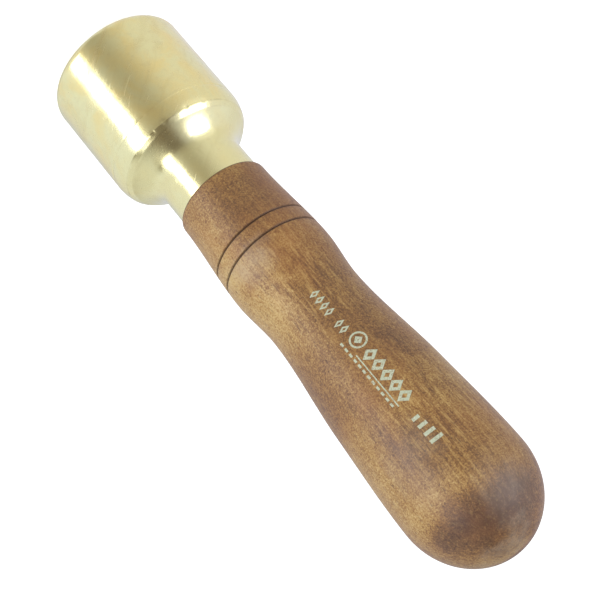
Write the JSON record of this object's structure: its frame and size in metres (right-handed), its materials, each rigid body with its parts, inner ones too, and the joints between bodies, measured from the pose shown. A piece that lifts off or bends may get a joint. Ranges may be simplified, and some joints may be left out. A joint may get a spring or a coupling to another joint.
{
  "type": "carving mallet",
  "caption": "Round wood carver's mallet: a turned brass head with a sloping shoulder and neck on a turned, swelling hardwood handle.",
  "frame": {"origin": "centre of the flat end face of the head, on which the mallet stands", "axes": "+Z along the axis of the mallet, from the head's end face to the butt of the handle; +X and +Y across it"},
  "size_m": [0.04, 0.04, 0.1793],
  "materials": {
    "brass": "satin, fine turned",
    "steel": "zinc plated thread",
    "epoxy": "cured, clear amber",
    "wood": "stained and lacquered, satin",
    "ink": "thin printed ink"
  },
  "bodies": {
    "root": {"brass_head": "brass", "threaded_stud": "steel", "epoxy_bond": "epoxy", "handle": "wood"}
  },
  "joints": []
}
